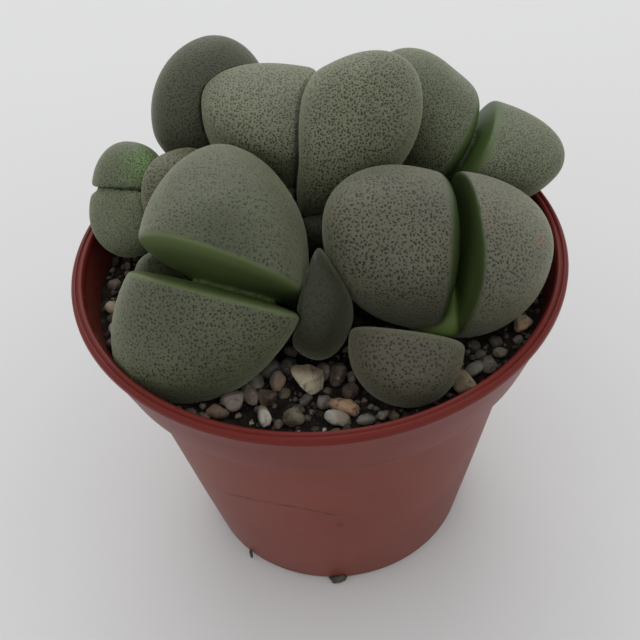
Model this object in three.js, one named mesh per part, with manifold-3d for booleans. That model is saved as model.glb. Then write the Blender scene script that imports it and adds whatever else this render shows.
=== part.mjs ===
// Potted split rock: a clump of thick paired leaves in a round plastic nursery pot.
// Millimetres, +Z up. The origin is the centre of the pot's underside.
import * as THREE from 'three';
import { mergeVertices } from 'three/addons/utils/BufferGeometryUtils.js';
import Module from 'manifold-3d';

const wasm = await Module();
wasm.setup();

// ---- driving dimensions ----
const POT_HEIGHT = 78;
const RIM_RADIUS = 52.5;
const RIM_WIDTH = 2.6;
const LIP_HEIGHT = 2;
const LIP_STEP = 0.7;
const LIP_UNDERSIDE = 0.3;
const RIM_ROUNDING = 0.5;
const COLLAR_HEIGHT = 15.6;
const COLLAR_BOTTOM_RADIUS = 47.5;
const COLLAR_UNDERSIDE = 0.6;
const BODY_TOP_RADIUS = 44.2;
const BASE_RADIUS = 31.7;
const BASE_CHAMFER = 0.8;
const WALL = 1.5;
const FLOOR = 1.8;
const POT_SIDES = 48;

const DRAIN_HOLES = 9;
const DRAIN_RADIUS = 3;
const DRAIN_CIRCLE = 26;
const DRAIN_SIDES = 12;

const SOIL_TOP = 69.5;
const SOIL_ROUGHNESS = 0.7;
const SOIL_SIDES = 24;
const SOIL_RINGS = [44, 39, 34, 28, 21, 12, 0];
const GRIT_SEED = 7;
const GRIT_COUNT = 34;
const GRIT_SUNK = 0.3;
const GRIT_WIDTHS = [1.2, 2];
const GRIT_CIRCLE = [26, 45];
const GRIT_APART = 3.4;

const STEM_RADIUS = 4.5;
const STEM_TIP_RADIUS = 2;
const STEM_BOTTOM = 56;
const STEM_SIDES = 16;

const GAP = 0.35;
const LEAF_GAP = 0.5;
const RIM_ROOM_WIDTH = 3;
const RIM_ROOM_DEPTH = 6;
const UNDERSIDE_TAPER = 0.25;
const LARGE_LEAF = { around: 20, rings: 10 };
const SMALL_LEAF = { around: 14, rings: 9 };
const CROWN = { around: 12, rings: 7 };

// ---- the leaves ----
// A head stands at `at`. `turned` is the direction of its cleft in plan, in degrees from +X, and
// `leaning` is its lean in degrees towards +X and +Y. Each leaf of a head has
//   side:   which side of the cleft it is on
//   opens:  how far it leans away from the cleft, in degrees
//   centre: across the cleft, along it and up the head
//   thick:  from the centre to the inner face, and to the rounded back
//   wide:   from the centre to both ends along the cleft
//   tall:   from the centre down and up
//   slant:  how far the back shifts along the cleft and up, for each mm of thickness
// `inside` sets how flat the inner face is, and `roundness` the roundness of the rest (2 is an ellipsoid).
// `detail` is the number of faces round and from the inner face to the back.
// `crown` is the body that the two leaves grow from: across, along, down and up.
const HEADS = {
  leaf_pair_right_front: {
    at: [25, -13, 71], turned: 91, leaning: [7, 12], inside: 6, roundness: 2.1, detail: LARGE_LEAF,
    crown: [11, 11, 5, 7],
    leaves: [
      { side: -1, opens: -2, centre: [6.7, -1, 15], thick: [6.5, 20.5], wide: [15.5, 17.5],
        tall: [19, 14], slant: [-0.2, 0.25] },
      { side: 1, opens: 3, centre: [1.7, -0.5, 17.5], thick: [1, 18.5], wide: [20, 17.5],
        tall: [23, 10.5], slant: [0.15, -0.1] },
    ],
  },
  leaf_pair_left_front: {
    at: [-17, -6, 75], turned: -26, leaning: [-14, -35], inside: 7, roundness: 2, detail: LARGE_LEAF,
    crown: [10, 12, 6, 7],
    leaves: [
      { side: -1, opens: 6, centre: [-0.8, 0, 19], thick: [2, 26.5], wide: [14, 19.5],
        tall: [29, 18.5], slant: [-0.25, -0.35] },
      { side: 1, opens: 7, centre: [3.7, 0.5, 20.5], thick: [2.5, 23], wide: [15.5, 20],
        tall: [19, 13], slant: [-0.3, -0.25] },
    ],
  },
  leaf_pair_centre_back: {
    at: [-4, 19, 75], turned: 83, leaning: [5, 0], inside: 5, roundness: 2.1, detail: LARGE_LEAF,
    crown: [13, 12, 7, 15],
    leaves: [
      { side: -1, opens: -4, centre: [2.2, 6.5, 21], thick: [5, 20.5], wide: [18, 13.5],
        tall: [20, 7.5], slant: [0, 0.05] },
      { side: 1, opens: -2, centre: [9.2, -2.5, 19], thick: [8.5, 18], wide: [15.5, 13],
        tall: [16.5, 18.5], slant: [0, 0.55] },
    ],
  },
  leaf_pair_right_back: {
    at: [27, 24, 72], turned: 76, leaning: [25, 2], inside: 6, roundness: 2.1, detail: LARGE_LEAF,
    crown: [9, 10, 5, 7],
    leaves: [
      { side: -1, opens: -7, centre: [11.8, 2.5, 13], thick: [12, 14], wide: [14, 15],
        tall: [17, 13.5], slant: [0.35, 0] },
      { side: 1, opens: 9, centre: [1.1, -1, 17.5], thick: [1, 17], wide: [16, 12.5],
        tall: [16, 9], slant: [-0.3, 0.45] },
    ],
  },
  leaf_pair_left_back: {
    at: [-19, 36, 73], turned: 25, leaning: [-3, 6], inside: 5, roundness: 2, detail: LARGE_LEAF,
    crown: [7, 9, 5, 6],
    leaves: [
      { side: 1, opens: -7, centre: [1.4, 0, 17], thick: [3, 13], wide: [16, 13.5],
        tall: [15.5, 17], slant: [-0.35, 0] },
      { side: -1, opens: 22, centre: [-0.2, 0.5, 15.5], thick: [2, 13], wide: [14, 14],
        tall: [12, 12], slant: [0, 0.05] },
    ],
  },
  leaf_pair_left: {
    at: [-34, 26, 77], turned: -17, leaning: [-14, -37], inside: 5, roundness: 2.1, detail: SMALL_LEAF,
    crown: [5, 6, 5, 4],
    leaves: [
      { side: -1, opens: -12, centre: [0.8, -5, 11], thick: [1, 9.5], wide: [6.5, 10],
        tall: [9, 8], slant: [0.05, 0] },
      { side: 1, opens: 6, centre: [6.4, -1.5, 14.5], thick: [5, 10], wide: [9, 8],
        tall: [7.5, 5.5], slant: [0.15, 0.25] },
    ],
  },
};

// Old leaves: each is one leaf of an older pair that the young head has pushed aside.
const OLD_LEAVES = {
  old_leaf_right_front: {
    at: [18, -19, 70], turned: -13, leaning: [5, -4], inside: 5, roundness: 2.1, detail: SMALL_LEAF,
    leaves: [
      { side: 1, opens: 41, centre: [3.2, -0.5, 12.5], thick: [3, 12], wide: [11.5, 11],
        tall: [14, 13.5], slant: [0, 0.05] },
    ],
  },
  old_leaf_centre_front: {
    at: [-2, -8, 70], turned: 66, leaning: [-10, -22], inside: 5, roundness: 2.1, detail: SMALL_LEAF,
    leaves: [
      { side: 1, opens: 12, centre: [1.1, -2, 16.5], thick: [1, 9.5], wide: [13.5, 6],
        tall: [15, 12], slant: [-0.5, -0.15] },
    ],
  },
  old_leaf_left_front: {
    at: [-18, -5, 70], turned: 71, leaning: [-10, -29], inside: 5, roundness: 2.1, detail: SMALL_LEAF,
    leaves: [
      { side: -1, opens: 40, centre: [2.2, -0.5, 12], thick: [2.5, 7], wide: [7, 7],
        tall: [15, 11.5], slant: [0, 0] },
    ],
  },
  old_leaf_left: {
    at: [-30, 13, 71], turned: 75, leaning: [-18, 6], inside: 5, roundness: 2.1, detail: SMALL_LEAF,
    leaves: [
      { side: 1, opens: 1, centre: [5.7, 1, 12.5], thick: [6, 8.5], wide: [9.5, 10.5],
        tall: [15.5, 9.5], slant: [0.3, 0] },
    ],
  },
  old_leaf_centre: {
    at: [1, 11, 69], turned: 1, leaning: [-1, 2], inside: 5, roundness: 2.1, detail: SMALL_LEAF,
    leaves: [
      { side: 1, opens: 29, centre: [2.2, 0.5, 9.5], thick: [2.5, 6], wide: [8.5, 9],
        tall: [11, 10], slant: [0, 0] },
    ],
  },
};

// Where each head's stem stands, and how high its top may reach before it is cut to the leaves' shape.
const STEMS = {
  stem_right_front: { at: [24, -13], top: 72 },
  stem_left_front: { at: [-15, -2], top: 74 },
  stem_centre_back: { at: [-4, 20], top: 77 },
  stem_right_back: { at: [29, 21], top: 74 },
  stem_left_back: { at: [-17.5, 33.5], top: 74 },
  stem_left: { at: [-31, 24], top: 76 },
};

// ---- materials ----
const material = (color, roughness, metalness = 0) =>
  new THREE.MeshStandardMaterial({ color, roughness, metalness });
const POT_MATERIAL = material(0x8a4a3c, 0.45);
const SOIL_MATERIAL = material(0x2b2018, 0.95);
const LEAF_MATERIAL = material(0x6f7f66, 0.6);
const OLD_LEAF_MATERIAL = material(0x5d6a4e, 0.65);
const STEM_MATERIAL = material(0x6b6245, 0.8);

// ---- solids ----
function seededRandom(seed) {
  let state = seed;
  return () => {
    state = (state * 1664525 + 1013904223) % 4294967296;
    return state / 4294967296;
  };
}

function toSolid(geometry) {
  const bare = geometry.clone();
  bare.deleteAttribute('normal');
  bare.deleteAttribute('uv');
  const merged = mergeVertices(bare, 1e-4);
  const vertProperties = new Float32Array(merged.attributes.position.array);
  const triVerts = new Uint32Array(merged.index.array);
  return new wasm.Manifold(new wasm.Mesh({ numProp: 3, vertProperties, triVerts }));
}

function toGeometry(solid) {
  const { vertProperties, triVerts, numProp } = solid.getMesh();
  const positions = new Float32Array((vertProperties.length / numProp) * 3);
  for (let i = 0; i < positions.length / 3; i += 1) {
    positions.set(vertProperties.subarray(i * numProp, i * numProp + 3), i * 3);
  }
  const geometry = new THREE.BufferGeometry();
  geometry.setAttribute('position', new THREE.BufferAttribute(positions, 3));
  geometry.setIndex(new THREE.BufferAttribute(new Uint32Array(triVerts), 1));
  geometry.computeVertexNormals();
  return geometry;
}

// The largest piece of a solid: cutting may leave a loose scrap.
function largestPiece(solid) {
  return solid.decompose().reduce((best, piece) => (piece.volume() > best.volume() ? piece : best));
}

function lathe(points, sides) {
  return toSolid(new THREE.LatheGeometry(points.map(([r, z]) => new THREE.Vector2(r, z)), sides)
    .rotateX(Math.PI / 2));
}

function cylinder(radius, topRadius, bottom, top, sides, x = 0, y = 0) {
  const shape = new THREE.CylinderGeometry(topRadius, radius, top - bottom, sides);
  return toSolid(shape.rotateX(Math.PI / 2).translate(x, y, (bottom + top) / 2));
}

// `value` to a power, with its sign kept.
const signedPower = (value, power) => Math.sign(value) * Math.abs(value) ** power;

// The directions of a head: along its cleft, across it and up the head.
function headAxes({ turned, leaning }) {
  const yaw = THREE.MathUtils.degToRad(turned);
  const axis = new THREE.Vector3(-leaning[1], leaning[0], 0).normalize();
  const lean = THREE.MathUtils.degToRad(Math.hypot(...leaning));
  const along = new THREE.Vector3(Math.cos(yaw), Math.sin(yaw), 0).applyAxisAngle(axis, lean);
  const across = new THREE.Vector3(Math.sin(yaw), -Math.cos(yaw), 0).applyAxisAngle(axis, lean);
  const up = new THREE.Vector3(0, 0, 1).applyAxisAngle(axis, lean);
  return { along, across, up };
}

// One leaf, `grow` mm larger all round.
function leafSolid(head, leaf, grow = 0) {
  const axes = headAxes(head);
  const angle = THREE.MathUtils.degToRad(leaf.opens);
  const out = axes.across.clone().multiplyScalar(leaf.side);
  const back = out.clone().multiplyScalar(Math.cos(angle)).addScaledVector(axes.up, -Math.sin(angle));
  const up = axes.up.clone().multiplyScalar(Math.cos(angle)).addScaledVector(out, Math.sin(angle));
  const [inner, outer] = leaf.thick.map((size) => size + grow);
  const [wideLow, wideHigh] = leaf.wide.map((size) => size + grow);
  const [down, rise] = leaf.tall.map((size) => size + grow);

  // The poles of the sphere are the middle of the inner face and of the back.
  const sphere = new THREE.SphereGeometry(1, head.detail.around, head.detail.rings);
  const position = sphere.attributes.position;
  const full = 2 / head.roundness;
  for (let i = 0; i < position.count; i += 1) {
    const [nAcross, nAlong, nUp] = [position.getY(i), position.getX(i), position.getZ(i)];
    const thick = nAcross > 0
      ? outer * nAcross ** full
      : -inner * Math.abs(nAcross) ** (2 / head.inside);
    const wide = (nAlong > 0 ? wideHigh : wideLow) * signedPower(nAlong, full);
    const tall = (nUp > 0 ? rise : down) * signedPower(nUp, full);
    const depth = Math.min(Math.max(-tall / down, 0), 1);
    const narrowing = 1 - UNDERSIDE_TAPER * depth ** 1.5;
    const point = new THREE.Vector3(...head.at)
      .addScaledVector(back, leaf.centre[0] + thick)
      .addScaledVector(axes.along, leaf.centre[1] + wide * narrowing + leaf.slant[0] * thick)
      .addScaledVector(up, leaf.centre[2] + tall + leaf.slant[1] * thick);
    position.setXYZ(i, point.x, point.y, point.z);
  }
  if (leaf.side > 0) {
    sphere.index.array.reverse();
  }
  return toSolid(sphere);
}

// A head's leaves with the crown between them, `grow` mm larger all round.
function headSolid(head, grow = 0) {
  let solid = leafSolid(head, head.leaves[0], grow);
  for (const leaf of head.leaves.slice(1)) {
    solid = solid.add(leafSolid(head, leaf, grow));
  }
  if (head.crown) {
    const [across, along, down, up] = head.crown;
    const crown = {
      side: 1, opens: 0, centre: [0, 0, 0], thick: [across, across], wide: [along, along],
      tall: [down, up], slant: [0, 0],
    };
    const round = { ...head, inside: head.roundness, detail: CROWN };
    solid = solid.add(leafSolid(round, crown, grow));
  }
  return solid;
}

// ---- the pot ----
// Outside radius of the pot's wall at height z.
function outerRadius(z) {
  const shoulder = POT_HEIGHT - COLLAR_HEIGHT;
  if (z < shoulder) {
    return BASE_RADIUS + ((BODY_TOP_RADIUS - BASE_RADIUS) * z) / shoulder;
  }
  const slope = (RIM_RADIUS - LIP_STEP - COLLAR_BOTTOM_RADIUS) / (COLLAR_HEIGHT - LIP_HEIGHT);
  return COLLAR_BOTTOM_RADIUS + slope * (z - shoulder);
}

function potSolid() {
  const shoulder = POT_HEIGHT - COLLAR_HEIGHT;
  const lip = POT_HEIGHT - LIP_HEIGHT;
  const profile = [
    [0, 0],
    [BASE_RADIUS - BASE_CHAMFER, 0],
    [BASE_RADIUS, BASE_CHAMFER],
    [BODY_TOP_RADIUS, shoulder - COLLAR_UNDERSIDE],
    [COLLAR_BOTTOM_RADIUS, shoulder],
    [outerRadius(lip), lip],
    [RIM_RADIUS, lip + LIP_UNDERSIDE],
    [RIM_RADIUS, POT_HEIGHT - RIM_ROUNDING],
    [RIM_RADIUS - RIM_ROUNDING, POT_HEIGHT],
    [RIM_RADIUS - RIM_WIDTH + RIM_ROUNDING, POT_HEIGHT],
    [RIM_RADIUS - RIM_WIDTH, POT_HEIGHT - RIM_ROUNDING],
    [RIM_RADIUS - RIM_WIDTH - LIP_UNDERSIDE, lip],
    [outerRadius(shoulder + WALL) - WALL, shoulder + WALL],
    [BODY_TOP_RADIUS - WALL, shoulder],
    [outerRadius(FLOOR) - WALL, FLOOR],
    [0, FLOOR],
  ];
  let solid = lathe(profile, POT_SIDES);
  for (let i = 0; i < DRAIN_HOLES; i += 1) {
    const angle = (2 * Math.PI * i) / DRAIN_HOLES;
    const [x, y] = [DRAIN_CIRCLE * Math.cos(angle), DRAIN_CIRCLE * Math.sin(angle)];
    solid = solid.subtract(cylinder(DRAIN_RADIUS, DRAIN_RADIUS, -1, FLOOR + GAP, DRAIN_SIDES, x, y));
  }
  return solid;
}

// The rim and collar with room round them: what a leaf is cut back from.
function rimRoom() {
  const low = SOIL_TOP - RIM_ROOM_DEPTH;
  return lathe([
    [outerRadius(low) - WALL - GAP, low],
    [RIM_RADIUS + RIM_ROOM_WIDTH, low],
    [RIM_RADIUS + GAP, POT_HEIGHT + GAP],
    [RIM_RADIUS - RIM_WIDTH - LIP_UNDERSIDE - GAP, POT_HEIGHT + GAP],
    [outerRadius(low) - WALL - GAP, low],
  ], POT_SIDES);
}

// ---- the soil with its grit ----
function soilTop(x, y) {
  const slow = Math.sin(x / 7 + 1.3) * Math.cos(y / 9 - 0.4);
  const fast = Math.sin(x / 2.9 - y / 3.7) * Math.cos(y / 3.1 + 0.8);
  return SOIL_TOP + SOIL_ROUGHNESS * (0.7 * slow + 0.6 * fast);
}

function soilSolid() {
  const shoulder = POT_HEIGHT - COLLAR_HEIGHT;
  const edge = outerRadius(SOIL_TOP - SOIL_ROUGHNESS) - WALL - GAP;
  const profile = [
    [0, FLOOR + GAP],
    [outerRadius(FLOOR) - WALL - GAP, FLOOR + GAP],
    [BODY_TOP_RADIUS - WALL - GAP, shoulder],
    [outerRadius(shoulder + WALL) - WALL - GAP, shoulder + WALL + GAP],
    ...[edge, ...SOIL_RINGS].map((r) => [r, SOIL_TOP]),
  ];
  const geometry = new THREE.LatheGeometry(profile.map(([r, z]) => new THREE.Vector2(r, z)), SOIL_SIDES)
    .rotateX(Math.PI / 2);
  const position = geometry.attributes.position;
  for (let i = 0; i < position.count; i += 1) {
    if (position.getZ(i) > SOIL_TOP - 0.01) {
      position.setZ(i, soilTop(position.getX(i), position.getY(i)));
    }
  }
  return toSolid(geometry);
}

// A stone: a rough lump of 20 faces, half-widths `size`, sunk into the soil's top.
function stone(x, y, size, random) {
  const geometry = new THREE.IcosahedronGeometry(1, 0);
  geometry.deleteAttribute('normal');
  geometry.deleteAttribute('uv');
  const lump = mergeVertices(geometry, 1e-3);
  const position = lump.attributes.position;
  for (let i = 0; i < position.count; i += 1) {
    const swell = 0.85 + 0.3 * random();
    position.setXYZ(i, position.getX(i) * swell, position.getY(i) * swell, position.getZ(i) * swell);
  }
  lump.scale(...size);
  lump.rotateX(0.6 * (random() - 0.5));
  lump.rotateZ(2 * Math.PI * random());
  lump.translate(x, y, soilTop(x, y) + size[2] * GRIT_SUNK);
  return toSolid(lump);
}

// The grit that stands out: place and half-widths in mm.
const NAMED_STONES = [
  { at: [-4, -31], size: [3, 2.4, 2.2] },
  { at: [2.4, -38], size: [3.2, 1.7, 1.6] },
  { at: [1.1, -41.2], size: [1.7, 1.4, 1.3] },
  { at: [1.7, -30], size: [1.9, 2.3, 1.6] },
  { at: [-18.6, -35.4], size: [2.2, 2.4, 1.7] },
  { at: [-12, -35], size: [2.1, 1.8, 1.6] },
  { at: [-12.9, -40], size: [1.7, 2.2, 1.5] },
  { at: [-9.7, -31.5], size: [1.7, 1.5, 1.5] },
  { at: [-14.4, -31], size: [1.6, 1.8, 1.4] },
  { at: [-7.3, -40.5], size: [2, 1.8, 1.4] },
  { at: [26.2, -35.7], size: [2.3, 2.1, 1.9] },
  { at: [28.7, -32.2], size: [1.9, 1.6, 1.5] },
  { at: [31.5, -30.9], size: [1.8, 2, 1.6] },
  { at: [40.3, -20.7], size: [1.9, 1.7, 1.7] },
  { at: [6.1, -42.3], size: [1.8, 1.5, 1.4] },
  { at: [10.7, -42.1], size: [2, 1.5, 1.4] },
  { at: [-45, -5], size: [1.7, 1.9, 1.5] },
  { at: [-43.5, -11.2], size: [1.7, 1.5, 1.5] },
];

// The soil with its grit: named stones, and others where no leaf is in the way.
function gritSolid(soil, leaves) {
  const random = seededRandom(GRIT_SEED);
  const [inner, outer] = GRIT_CIRCLE;
  const [narrow, broad] = GRIT_WIDTHS;
  let solid = soil;
  for (const { at, size } of NAMED_STONES) {
    solid = solid.add(stone(...at, size, random));
  }
  for (let i = 0; i < GRIT_COUNT; i += 1) {
    const angle = 2 * Math.PI * random();
    const radius = inner + (outer - inner) * Math.sqrt(random());
    const width = narrow + (broad - narrow) * random();
    const size = [width, width * (0.75 + 0.4 * random()), width * 0.8];
    const [x, y] = [radius * Math.cos(angle), radius * Math.sin(angle)];
    const lump = stone(x, y, size, random);
    const apart = NAMED_STONES.every(({ at }) => Math.hypot(at[0] - x, at[1] - y) > GRIT_APART);
    if (apart && leaves.every((leaf) => leaf.intersect(lump).isEmpty())) {
      solid = solid.add(lump);
    }
  }
  return solid;
}

// ---- the object ----
const object = new THREE.Group();
object.name = 'potted_split_rock';

function addNode(name, solid, mat) {
  const mesh = new THREE.Mesh(toGeometry(solid), mat);
  mesh.name = name;
  object.add(mesh);
}

const rim = rimRoom();
const taken = [];
const placeHead = (name, head, mat) => {
  let solid = headSolid(head).subtract(rim);
  for (const other of taken) {
    solid = solid.subtract(other);
  }
  addNode(name, largestPiece(solid), mat);
  taken.push(headSolid(head, LEAF_GAP));
};

addNode('pot', potSolid(), POT_MATERIAL);
for (const [name, head] of Object.entries(HEADS)) {
  placeHead(name, head, LEAF_MATERIAL);
}
for (const [name, head] of Object.entries(OLD_LEAVES)) {
  placeHead(name, head, OLD_LEAF_MATERIAL);
}

let soil = soilSolid();
soil = gritSolid(soil, taken);
for (const other of taken) {
  soil = soil.subtract(other);
}
for (const [name, { at, top }] of Object.entries(STEMS)) {
  const [tip, neck] = [STEM_TIP_RADIUS, STEM_RADIUS];
  const hole = cylinder(tip + GAP, neck + GAP, STEM_BOTTOM - GAP, top + GAP, STEM_SIDES, ...at);
  let stem = cylinder(tip, neck, STEM_BOTTOM, top, STEM_SIDES, ...at);
  for (const other of taken) {
    stem = stem.subtract(other);
  }
  addNode(name, largestPiece(stem), STEM_MATERIAL);
  soil = soil.subtract(hole);
}
addNode('soil', largestPiece(soil), SOIL_MATERIAL);

export default object;
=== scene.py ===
"""Potted split rock: its finished leaves, pot, soil and grit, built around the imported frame.

Shapes are worked out in millimetres and placed in metres. +Z is up and -Y is the front.
"""

import math
import random
from collections import namedtuple

import bmesh
import bpy
import numpy as np
from mathutils import Matrix, Vector, noise


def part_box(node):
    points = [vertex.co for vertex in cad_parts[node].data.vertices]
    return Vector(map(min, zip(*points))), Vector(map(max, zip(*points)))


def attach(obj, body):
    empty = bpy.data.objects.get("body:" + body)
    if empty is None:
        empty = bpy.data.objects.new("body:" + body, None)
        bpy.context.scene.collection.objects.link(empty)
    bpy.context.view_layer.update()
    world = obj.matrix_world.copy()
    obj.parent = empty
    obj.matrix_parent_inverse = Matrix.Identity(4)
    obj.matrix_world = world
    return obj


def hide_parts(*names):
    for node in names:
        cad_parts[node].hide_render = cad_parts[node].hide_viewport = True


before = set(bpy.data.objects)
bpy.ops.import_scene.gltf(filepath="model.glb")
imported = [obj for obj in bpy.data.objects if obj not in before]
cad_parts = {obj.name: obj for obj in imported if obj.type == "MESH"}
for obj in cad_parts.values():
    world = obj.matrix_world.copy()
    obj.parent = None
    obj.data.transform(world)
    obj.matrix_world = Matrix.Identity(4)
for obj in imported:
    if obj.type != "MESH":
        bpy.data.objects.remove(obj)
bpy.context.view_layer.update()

# ---- sizes in millimetres ----
MM = 0.001
RIM_RADIUS, _, POT_HEIGHT = (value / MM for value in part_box("pot")[1])
RIM_WIDTH = 2.6
LIP_HEIGHT = 2.0
LIP_STEP = 0.7
LIP_UNDERSIDE = 0.3
RIM_GROOVE = 0.35
COLLAR_HEIGHT = 15.6
COLLAR_BOTTOM_RADIUS = 47.5
COLLAR_UNDERSIDE = 0.6
BODY_TOP_RADIUS = 44.2
BASE_RADIUS = 31.7
BASE_CHAMFER = 0.8
WALL = 1.5
FLOOR = 1.8
POT_SIDES = 240
SHOULDER = POT_HEIGHT - COLLAR_HEIGHT

DRAIN_HOLES = 9
DRAIN_RADIUS = 3.0
DRAIN_CIRCLE = 26.0
DRAIN_SIDES = 32

SOIL_TOP = 69.5
SOIL_SIDES = 360
SOIL_RINGS = 76
GRIT_TRIES = 2200
CRUMB_TRIES = 1400

GAP = 0.35
LEAF_GAP = 0.3
SEAM_DEPTH = 0.7
UNDERSIDE_TAPER = 0.25
SKIN_WAVE_HEIGHT = 0.16
LEAF_VOXEL = 0.42
LEAF_SIDES = 96
LEAF_RINGS = 64

# ---- the leaves ----
# A head stands at `at`. `turned` is the direction of its cleft in plan, in degrees from +X, and
# `leaning` is its lean in degrees towards +X and +Y. Each leaf of a head has
#   side:   which side of the cleft it is on
#   opens:  how far it leans away from the cleft, in degrees
#   centre: across the cleft, along it and up the head
#   thick:  from the centre to the inner face, and to the rounded back
#   wide:   from the centre to both ends along the cleft
#   tall:   from the centre down and up
#   slant:  how far the back shifts along the cleft and up, for each mm of thickness
# `inside` sets how flat the inner face is, and `roundness` the roundness of the rest.
# `crown` is the body that the two leaves grow from: across, along, down and up.
Leaf = namedtuple("Leaf", "side opens centre thick wide tall slant")
Head = namedtuple("Head", "at turned leaning inside roundness leaves crown", defaults=(None,))

HEADS = {
    "leaf_pair_right_front": Head(
        (25, -13, 71), 91, (7, 12), 6, 2.1, crown=(11, 11, 5, 7), leaves=[
            Leaf(-1, -2, (6.7, -1, 15), (6.5, 20.5), (15.5, 17.5), (19, 14), (-0.2, 0.25)),
            Leaf(1, 3, (1.7, -0.5, 17.5), (1, 18.5), (20, 17.5), (23, 10.5), (0.15, -0.1)),
        ]),
    "leaf_pair_left_front": Head(
        (-17, -6, 75), -26, (-14, -35), 7, 2, crown=(10, 12, 6, 7), leaves=[
            Leaf(-1, 6, (-0.8, 0, 19), (2, 26.5), (14, 19.5), (29, 18.5), (-0.25, -0.35)),
            Leaf(1, 7, (3.7, 0.5, 20.5), (2.5, 23), (15.5, 20), (19, 13), (-0.3, -0.25)),
        ]),
    "leaf_pair_centre_back": Head(
        (-4, 19, 75), 83, (5, 0), 5, 2.1, crown=(13, 12, 7, 15), leaves=[
            Leaf(-1, -4, (2.2, 6.5, 21), (5, 20.5), (18, 13.5), (20, 7.5), (0, 0.05)),
            Leaf(1, -2, (9.2, -2.5, 19), (8.5, 18), (15.5, 13), (16.5, 18.5), (0, 0.55)),
        ]),
    "leaf_pair_right_back": Head(
        (27, 24, 72), 76, (25, 2), 6, 2.1, crown=(9, 10, 5, 7), leaves=[
            Leaf(-1, -7, (11.8, 2.5, 13), (12, 14), (14, 15), (17, 13.5), (0.35, 0)),
            Leaf(1, 9, (1.1, -1, 17.5), (1, 17), (16, 12.5), (16, 9), (-0.3, 0.45)),
        ]),
    "leaf_pair_left_back": Head(
        (-19, 36, 73), 25, (-3, 6), 5, 2, crown=(7, 9, 5, 6), leaves=[
            Leaf(1, -7, (1.4, 0, 17), (3, 13), (16, 13.5), (15.5, 17), (-0.35, 0)),
            Leaf(-1, 22, (-0.2, 0.5, 15.5), (2, 13), (14, 14), (12, 12), (0, 0.05)),
        ]),
    "leaf_pair_left": Head(
        (-34, 26, 77), -17, (-14, -37), 5, 2.1, crown=(5, 6, 5, 4), leaves=[
            Leaf(-1, -12, (0.8, -5, 11), (1, 9.5), (6.5, 10), (9, 8), (0.05, 0)),
            Leaf(1, 6, (6.4, -1.5, 14.5), (5, 10), (9, 8), (7.5, 5.5), (0.15, 0.25)),
        ]),
    "old_leaf_right_front": Head(
        (18, -19, 70), -13, (5, -4), 5, 2.1,
        leaves=[Leaf(1, 41, (3.2, -0.5, 12.5), (3, 12), (11.5, 11), (14, 13.5), (0, 0.05))]),
    "old_leaf_centre_front": Head(
        (-2, -8, 70), 66, (-10, -22), 5, 2.1,
        leaves=[Leaf(1, 12, (1.1, -2, 16.5), (1, 9.5), (13.5, 6), (15, 12), (-0.5, -0.15))]),
    "old_leaf_left_front": Head(
        (-18, -5, 70), 71, (-10, -29), 5, 2.1,
        leaves=[Leaf(-1, 40, (2.2, -0.5, 12), (2.5, 7), (7, 7), (15, 11.5), (0, 0))]),
    "old_leaf_left": Head(
        (-30, 13, 71), 75, (-18, 6), 5, 2.1,
        leaves=[Leaf(1, 1, (5.7, 1, 12.5), (6, 8.5), (9.5, 10.5), (15.5, 9.5), (0.3, 0))]),
    "old_leaf_centre": Head(
        (1, 11, 69), 1, (-1, 2), 5, 2.1,
        leaves=[Leaf(1, 29, (2.2, 0.5, 9.5), (2.5, 6), (8.5, 9), (11, 10), (0, 0))]),
}


# ---- materials ----
SHEEN = 0.24
SHEEN_TINT = (0.95, 1.0, 0.7)
SEAM_SHADE_COLOUR = (0.008, 0.011, 0.005)
DARK_DOTS = (0.011, 0.015, 0.006)


class Value:
    """A number, colour or vector that a material works out. Python's operators on it add Math nodes."""

    def __init__(self, paint, link):
        self.paint = paint
        self.link = link

    def math(self, operation, *values):
        return self.paint.node("ShaderNodeMath", {"operation": operation}, values)

    def __add__(self, other):
        return self.math("ADD", self, other)

    def __sub__(self, other):
        return self.math("SUBTRACT", self, other)

    def __rsub__(self, other):
        return self.math("SUBTRACT", other, self)

    def __mul__(self, other):
        return self.math("MULTIPLY", self, other)

    __radd__ = __add__
    __rmul__ = __mul__

    def largest(self, other):
        return self.math("MAXIMUM", self, other)

    def between(self, low, high):
        """0 at `low` and 1 at `high`, with soft ends."""
        settings = {"interpolation_type": "SMOOTHSTEP"}
        inputs = {"Value": self, "From Min": low, "From Max": high}
        if low > high:
            inputs.update({"From Min": high, "From Max": low, "To Min": 1.0, "To Max": 0.0})
        return self.paint.node("ShaderNodeMapRange", settings, inputs)


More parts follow.
